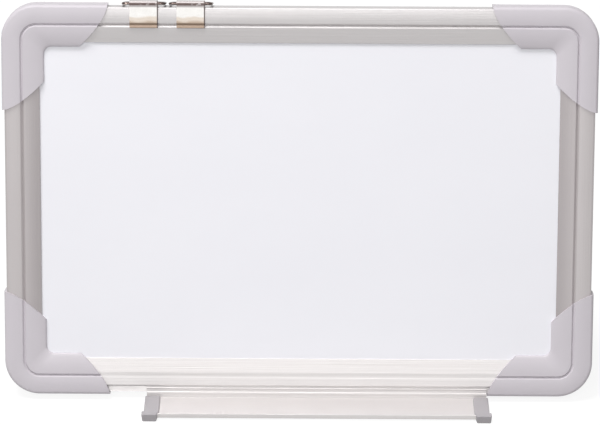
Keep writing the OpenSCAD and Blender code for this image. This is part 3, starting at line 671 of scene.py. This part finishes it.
tray_plastic = moulded("tray_plastic", END_LOW, END_HIGH, 0.42)
end_back = FLOOR_Y - END_BACK
end_length = TRAY_D + END_WALL - END_BACK
soft_run = np.linspace(0, SOFT, 6)
plain_run = np.linspace(SOFT, end_length - SOFT, 40)[1:-1]
run = np.concatenate([soft_run, plain_run, (end_length - soft_run)[::-1]])
near_end = np.minimum(run, run[::-1])
inset = SOFT - np.sqrt(np.maximum(SOFT ** 2 - np.maximum(SOFT - near_end, 0) ** 2, 0))
to_front = run[-1] - run
bulge = eases(to_front, *BULGE_AT)
tall = SLAB_TOP + eases(to_front, *RISE_AT) * (NOSE_TOP - SLAB_TOP)
taper = eases(to_front, *TAPER_AT) * NOSE_IN
for side, east in (("left", -1), ("right", 1)):
    end = TRAY_RIGHT if east > 0 else -TRAY_LEFT
    inner = end + END_WALL - END_L + taper + inset
    outer = end + END_WALL + bulge * NOSE_OUT - inset
    pairs = rounded(inner, outer, inset * 0.6, tall - inset, np.full(len(run), SOFT))
    middle = ((inner + outer) / 2)[:, None]
    low = (1 - pairs[..., 1] / tall[:, None]) * bulge[:, None]
    x = middle + (pairs[..., 0] - middle) * (1 - NOSE_PINCH * low)
    y = np.broadcast_to((end_back - run)[:, None], x.shape)
    cap = skin(f"tray_cap_{side}_skin", np.stack([east * x, y, pairs[..., 1]], -1), tray_plastic)
    stands_for(cap, "tray")

# Hangers: a nickel-plated spring strip folded over the top rail. Its front leaf clips into the
# groove, the fold above the rail's front edge holds the ring's wire, and a tail grips the back.
HANGER_X = (-118.5, -82.9)
HANGER_STEP = HANGER_X[1] - HANGER_X[0]
STRAP_HALF = 10.7
STRAP_T = 0.6
BARREL_D, BARREL_H = 1.85, 2.75
BARREL_R = 2.5
HOOK_LINE = [(-0.9, -15.3), (1.05, -13.5), (-0.45, -11.7), (-0.4, 2.6)]
TAIL_LINE = [(3.5, 0.45), (15.45, 0.45), (15.45, -10.4), (15.95, -12.4)]
SADDLE_LINE = [(3.0, 0.5), (4.6, 0.45)]  # from the fold onto the rail's top
FOLD_FROM, FOLD_TO = 180, -25  # degrees round the barrel, from its front over its top
# The strap's painted reflections (beige and brown down the leaf, brown on the lip, grey over the fold and
# a dark band with gaps of painted highlight) and painted shade along each right edge: where they begin
# and end, and their colours.
FRONT_AT, FOLD_AT, LIP_AT = (3.4, 2.4), (0.0, 0.6), (-11.2, -12.2)  # where colours change
BEIGE_AT, BROWN_REFLECTION_AT = (-5.0, -7.0), (-8.0, -11.0)
BAND_FOOT_AT, BAND_TOP_AT, PAINTED_HIGHLIGHT_GAPS = (1.3, 2.1), (4.1, 3.3), (0.68, 0.56)
EDGE_SHADE_AT = (20.6, 20.9)
NICKEL_LOW, NICKEL_HIGH = (0.84, 0.82, 0.79), (0.92, 0.905, 0.885)
NICKEL_BEIGE, NICKEL_BROWN_REFLECTION = (0.74, 0.66, 0.58), (0.52, 0.41, 0.33)
NICKEL_FOLD, LIP_REFLECTION, DARK_REFLECTION_AND_SHADE = (0.40, 0.37, 0.365), (0.30, 0.22, 0.165), (0.10, 0.07, 0.065)


def nickel_plate():
    """Bright nickel, with painted reflections of a darker room: beige and then brown down the leaf, dull
    brown on its lip, greyer over the fold with a dark band along its front, broken by painted
    highlights, and painted shade along each strap's right edge. Heights are over the rail's outer edge."""
    made = Finish("nickel_plate")
    x, d, h = upright(made)
    cloud = made.grain(made.place(), 260.0, 4.0, 0.6)
    patch = made.grain(made.place(), 55.0, 2.0, 0.5)
    rubbed = made.grain(made.place(turn=(LEAN, 0, 0), scale=(220, 1800, 1800)), 1.0, 3.0, 0.6)
    wavy = h + patch * 9.0 - 4.5
    steps = (x - (HANGER_X[0] - STRAP_HALF)) / HANGER_STEP
    strap_share = made.node("Math", {"operation": "FRACT"}, i0=steps)
    in_front = rises(made, d, *FRONT_AT)
    folded = rises(made, h, *FOLD_AT) * in_front
    # Painted reflection: a dark band along the fold's front, with gaps of painted highlight.
    band = rises(made, h, *BAND_FOOT_AT) * rises(made, h, *BAND_TOP_AT)
    band = band * in_front * rises(made, cloud, *PAINTED_HIGHLIGHT_GAPS)
    lip = rises(made, h, *LIP_AT) * in_front
    # Painted shade along each strap's right edge.
    painted_edge_shade = rises(made, strap_share * HANGER_STEP, *EDGE_SHADE_AT) * in_front
    # Painted reflections down the leaf, over the fold and on the lip.
    leaf = made.blend(cloud, NICKEL_LOW, NICKEL_HIGH)
    leaf = made.blend(rises(made, wavy, *BEIGE_AT), leaf, NICKEL_BEIGE)
    leaf = made.blend(rises(made, wavy, *BROWN_REFLECTION_AT), leaf, NICKEL_BROWN_REFLECTION)
    leaf = made.blend(folded, leaf, NICKEL_FOLD)
    leaf = made.blend(lip, leaf, LIP_REFLECTION)
    made.set("Base_Color", made.blend(band + painted_edge_shade, leaf, DARK_REFLECTION_AND_SHADE))
    made.set("Metallic", 1.0 - lip * 0.75 - painted_edge_shade * (1.0 - lip) * 0.6 - folded * 0.5)
    made.set("Roughness", 0.16 + cloud * 0.08 + rubbed * 0.08 + (lip + folded) * 0.25)
    return made.relief(rubbed, 0.00003, 0.35)


def strip(line, thick):
    """A strip's outline from its middle line: the line moved half its thickness to both sides along
    its normals, out and back."""
    line = np.asarray(line, float)
    run = np.gradient(line, axis=0)
    normal = np.stack([-run[:, 1], run[:, 0]], 1) / np.linalg.norm(run, axis=1, keepdims=True)
    return np.vstack([line + normal * thick / 2, (line - normal * thick / 2)[::-1]])


nickel = nickel_plate()
fold_r = BARREL_R - STRAP_T / 2
fold_turn = np.radians(np.linspace(FOLD_FROM, FOLD_TO, 22))
fold_line = np.stack([BARREL_D + fold_r * np.cos(fold_turn), BARREL_H + fold_r * np.sin(fold_turn)], 1)
hook_line = eased(HOOK_LINE, reach=1.4, steps=5, closed=False)
saddle_line = eased([fold_line[-1], *SADDLE_LINE], reach=0.6, steps=4, closed=False)
tail_line = eased(TAIL_LINE, reach=0.8, steps=5, closed=False)
strap_outline = strip(np.vstack([hook_line, fold_line, saddle_line[1:], tail_line[1:]]), STRAP_T)
for side, hanger_x in zip(("left", "right"), HANGER_X):
    ends = np.array([hanger_x - STRAP_HALF, hanger_x + STRAP_HALF])[:, None]
    rings = leaned(ends, strap_outline[None, :, 0], BOARD_H + strap_outline[None, :, 1])
    stands_for(skin(f"hanger_strap_{side}_skin", rings, nickel), f"hanger_{side}")

# Rings: nickel-plated wire bent to a rounded rectangle through each strap's fold. They lie back
# over the top rail and swing up and forwards to hang on a hook.
RING_HALF = 15.8
RING_L = 24.0
RING_REST = math.radians(6.25881)  # how far they drop behind, where they lie
BARREL_BEND, FAR_BEND = 2.5, 7.0
WIRE_R = 1.0
# The wire's colours: a painted dark reflection, with lighter streaks.
WIRE_LOW, WIRE_HIGH = (0.09, 0.068, 0.062), (0.45, 0.37, 0.33)


def ring_wire():
    """Drawn wire, painted dark as a reflection of a dark room, with lighter streaks."""
    made = Finish("ring_wire", Metallic=1.0)
    streak = made.grain(made.place(), 330.0, 3.0, 0.6)
    drawn = made.grain(made.place(), 2400.0, 2.0)
    made.set("Base_Color", made.blend(rises(made, streak, 0.52, 0.7), WIRE_LOW, WIRE_HIGH))
    made.set("Roughness", 0.18 + streak * 0.15)
    return made.relief(drawn, 0.00002, 0.4)


def bends(corners, radii, steps=10):
    """The arcs of a closed line in a plane, [corner, point, 2]: each corner gives way to an arc of
    its radius, which touches both its sides."""
    corners = np.array(corners, float)
    into = corners - np.roll(corners, 1, 0)
    onto = np.roll(corners, -1, 0) - corners
    into, onto = (v / np.linalg.norm(v, axis=1, keepdims=True) for v in (into, onto))
    radii = np.array(radii, float)[:, None]
    middle = corners + (onto - into) * radii
    t = np.linspace(0, math.pi / 2, steps)[None, :, None]
    return middle[:, None] + radii[:, None] * (into[:, None] * np.sin(t) - onto[:, None] * np.cos(t))


def rod(name, line, normal, radius, finish, closed, sides=20):
    """A round rod round a line of 3-D points in one plane: circles spanned by the plane's normal and
    the line's own normal in that plane."""
    ahead = np.roll(line, -1, 0) - np.roll(line, 1, 0) if closed else np.gradient(line, axis=0)
    aside = np.cross(normal, ahead)
    aside /= np.linalg.norm(aside, axis=1, keepdims=True)
    a = np.linspace(0, 2 * math.pi, sides, endpoint=False)[None, :, None]
    rings = line[:, None] + radius * (np.cos(a) * aside[:, None] + np.sin(a) * normal)
    return skin(name, rings, finish, closed=closed)


wire = ring_wire()
ring_corners = [(-RING_HALF, 0), (RING_HALF, 0), (RING_HALF, RING_L), (-RING_HALF, RING_L)]
ring_arcs = bends(ring_corners, [BARREL_BEND, BARREL_BEND, FAR_BEND, FAR_BEND])
ring_x, ring_far = ring_arcs.reshape(-1, 2).T
ring_d = BARREL_D + ring_far * math.cos(RING_REST)
ring_h = BOARD_H + BARREL_H - ring_far * math.sin(RING_REST)
ring_normal = leaned(0, math.sin(RING_REST), math.cos(RING_REST)) - leaned(0, 0, 0)
for side, hanger_x in zip(("left", "right"), HANGER_X):
    line = leaned(hanger_x + ring_x, ring_d, ring_h)
    ring = rod(f"hanger_ring_{side}_skin", line, ring_normal, WIRE_R, wire, closed=True)
    stands_for(ring, f"ring_{side}")

# The leg: one bent steel rod, whose ends turn in the blind bores of two brackets on the side
# rails. It opens to a stop on each bracket and folds flat against the back.
PIVOT_Y, PIVOT_Z = 13.5035, 188.049
LEG_ANGLE = math.radians(20)
LEG_L = 195.328
LEG_SIDE = 203.5
SIDE_STEPS = (-60, -120)
PIN_L = 17.5
PIN_BEND, FOOT_BEND = 6.0, 20.0
ROD_R = 2.5
ROD_LOW, ROD_HIGH = (0.58, 0.59, 0.61), (0.68, 0.69, 0.71)


def bright(name, low, high, rough):
    """Bright plated steel: a faint warm tint, fine rubbing lines and a slightly hazy gloss."""
    made = Finish(name, Metallic=1.0)
    haze = made.grain(made.place(), 150.0, 4.0, 0.6)
    rubbed = made.grain(made.place(turn=(LEAN, 0, 0), scale=(220, 1800, 1800)), 1.0, 3.0, 0.6)
    made.set("Base_Color", made.blend(haze, low, high))
    made.set("Roughness", rough + haze * 0.08 + rubbed * 0.08)
    return made.relief(rubbed, 0.00003, 0.35)


pin_corners = [(LEG_SIDE, -20), (LEG_SIDE, 0), (LEG_SIDE + 40, 0), (LEG_SIDE + 40, -20)]
foot_corners = [(LEG_SIDE, 0), (LEG_SIDE, -LEG_L), (0, -LEG_L), (0, 0)]
half_leg = np.vstack([[(LEG_SIDE + PIN_L, 0)],
                      bends(pin_corners, [0, PIN_BEND, 0, 0])[1][::-1],
                      [(LEG_SIDE, step) for step in SIDE_STEPS],
                      bends(foot_corners, [0, FOOT_BEND, 0, 0], 14)[1]])
leg_x, leg_up = np.vstack([half_leg, (half_leg * [-1, 1])[::-1]]).T
leg_y = PIVOT_Y - leg_up * math.sin(LEG_ANGLE)
leg_z = PIVOT_Z + leg_up * math.cos(LEG_ANGLE)
leg_normal = np.array([0, math.cos(LEG_ANGLE), math.sin(LEG_ANGLE)])
rod_plate = bright("rod_plate", ROD_LOW, ROD_HIGH, 0.24)
leg_line = np.stack([leg_x, leg_y, leg_z], 1)
leg = rod("leg_rod_skin", leg_line, leg_normal, ROD_R, rod_plate, closed=False, sides=28)
stands_for(leg, "leg")

# The leg's sleeves: two moulded rubber tubes pushed onto the foot bar, on which the board stands.
# Fine ribs run round the middle of each, and its ends are rounded.
SLEEVE_X = 120.0
SLEEVE_HALF = 20.0
SLEEVE_R = 4.496
SLEEVE_SOFT = 1.0
RIB_DEEP = 0.25
RIB_PITCH = 3.0
RIBS_AT = (5.0, 6.5)  # how far from a sleeve's ends the ribs begin and are full
RUBBER_LOW, RUBBER_HIGH = (0.035, 0.035, 0.04), (0.07, 0.07, 0.075)


def sleeve_rubber():
    """Black rubber: a faint grey bloom and fine pores."""
    made = Finish("rubber", Metallic=0.0, Specular_IOR_Level=0.3)
    bloom = made.grain(made.place(), 90.0, 4.0, 0.6)
    pores = made.grain(made.place(), 1500.0, 3.0)
    made.set("Base_Color", made.blend(bloom, RUBBER_LOW, RUBBER_HIGH))
    made.set("Roughness", 0.6 + bloom * 0.2)
    return made.relief(pores, 0.0001, 0.6)


rubber = sleeve_rubber()
sleeve_end = np.linspace(0, SLEEVE_SOFT, 8)
sleeve_middle = np.linspace(SLEEVE_SOFT, 2 * SLEEVE_HALF - SLEEVE_SOFT, 77)[1:-1]
sleeve_run = np.concatenate([sleeve_end, sleeve_middle, (2 * SLEEVE_HALF - sleeve_end)[::-1]])
sleeve_x = sleeve_run - SLEEVE_HALF
to_end = SLEEVE_HALF - abs(sleeve_x)
ribs = eases(to_end, *RIBS_AT) * (0.5 - 0.5 * np.cos(2 * math.pi * sleeve_x / RIB_PITCH))
drop = SLEEVE_SOFT - np.sqrt(SLEEVE_SOFT ** 2 - np.clip(SLEEVE_SOFT - to_end, 0, SLEEVE_SOFT) ** 2)
sleeve_r = (SLEEVE_R - RIB_DEEP * ribs - drop)[:, None]
round_turn = np.linspace(0, 2 * math.pi, 40, endpoint=False)[None, :]
sleeve_y = PIVOT_Y + LEG_L * math.sin(LEG_ANGLE) + sleeve_r * np.cos(round_turn)
sleeve_z = PIVOT_Z - LEG_L * math.cos(LEG_ANGLE) + sleeve_r * np.sin(round_turn)
for side, east in (("left", -1), ("right", 1)):
    x = np.broadcast_to(east * SLEEVE_X + sleeve_x[:, None], sleeve_y.shape)
    sleeve = skin(f"leg_sleeve_{side}_skin", np.stack([x, sleeve_y, sleeve_z], -1), rubber)
    stands_for(sleeve, "leg")

# The leg's brackets: moulded blocks on the backs of the side rails, each with a blind bore for
# the rod's end and an arm that stops the open leg. Two screws hold each.
HINGE_BEVEL = 0.6
HINGE_LOW, HINGE_HIGH = (0.25, 0.235, 0.26), (0.31, 0.295, 0.32)


def softened(node, finish, width):
    """A copy of a CAD node's mesh with its doubles merged, its flat faces joined and a bevel."""
    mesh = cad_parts[node].data.copy()
    work = bmesh.new()
    work.from_mesh(mesh)
    bmesh.ops.remove_doubles(work, verts=work.verts, dist=1e-6)
    bmesh.ops.dissolve_limit(work, angle_limit=math.radians(2), verts=work.verts, edges=work.edges)
    work.to_mesh(mesh)
    work.free()
    mesh.materials.clear()
    mesh.materials.append(finish.material)
    piece = bpy.data.objects.new(node + "_skin", mesh)
    bpy.context.collection.objects.link(piece)
    return smooth(bevelled(piece, width, 3))


hinge_plastic = moulded("hinge_plastic", HINGE_LOW, HINGE_HIGH, 0.4)
for side in ("left", "right"):
    bracket = softened(f"leg_bracket_{side}", hinge_plastic, HINGE_BEVEL)
    stands_for(bracket, "board")

# The desk and the light: a plain white desk that runs up into a white background, a wide soft
# lamp above and to the left, and a weaker one low in front.
DESK_HALF = 6.0  # metres
DESK_BOUNCE, DESK_FAINT = (0.45, 0.45, 0.45), (0.16, 0.16, 0.16)
DESK_GLOW = 0.88
WHITE = (1, 1, 1)
ROOM_LIGHT, ROOM_SEEN = 0.27, 1.0
AIM = np.array([0, 0, 0.15])  # the board's middle, in metres


def seen_share(made):
    """1 for rays from the camera, from gloss and through glass, and 0 for those that only light."""
    seen = made.node("LightPath", out=0) + made.node("LightPath", out=3) + made.node("LightPath", out=6)
    return made.node("Math", {"operation": "MINIMUM"}, i0=seen, i1=1.0)


def desk_white():
    """White by its own glow where it is seen, with the faint shadows of a dark grey under it, and a
    plain grey to the rays that only light the board."""
    made = Finish("desk_white")
    bounce = made.node("BsdfDiffuse", Color=DESK_BOUNCE)
    faint = made.node("BsdfDiffuse", Color=DESK_FAINT)
    glow = made.node("Emission", Color=WHITE, Strength=DESK_GLOW)
    seen = made.node("AddShader", i0=faint, i1=glow)
    both = made.node("MixShader", i0=seen_share(made), i1=bounce, i2=seen)
    made.fill(made.nodes["Material Output"].inputs["Surface"], both)
    return made


def lamp(name, azimuth, height, distance, width, tall, power):
    """A soft lamp aimed at the board's middle: azimuth degrees to the right of the front and height
    degrees above it."""
    a, e = math.radians(azimuth), math.radians(height)
    z = np.array([math.sin(a) * math.cos(e), -math.cos(a) * math.cos(e), math.sin(e)])
    x = np.cross((0, 0, 1), z)
    x /= np.linalg.norm(x)
    light = bpy.data.lights.new(name, "AREA")
    light.shape = "RECTANGLE"
    light.size = width
    light.size_y = tall
    light.energy = power
    set_down(bpy.data.objects.new(name, light), (x, np.cross(z, x), z), AIM + z * distance)


desk_mesh = bpy.data.meshes.new("desk")
desk_corners = [(DESK_HALF * x, DESK_HALF * y, 0) for x, y in ((-1, -1), (1, -1), (1, 1), (-1, 1))]
desk_mesh.from_pydata(desk_corners, [], [(0, 1, 2, 3)])
desk_mesh.materials.append(desk_white().material)
desk = bpy.data.objects.new("desk", desk_mesh)
bpy.context.collection.objects.link(desk)

world = bpy.data.worlds.new("room")
bpy.context.scene.world = world
room = Finish("room", world=world, Color=WHITE)
room.set("Strength", seen_share(room) * (ROOM_SEEN - ROOM_LIGHT) + ROOM_LIGHT)

lamp("key", azimuth=-50, height=70, distance=4.0, width=1.6, tall=1.6, power=136)
lamp("front", azimuth=-10, height=32, distance=3.0, width=1.2, tall=0.7, power=29)

scene = bpy.context.scene
scene.view_settings.view_transform = "Standard"
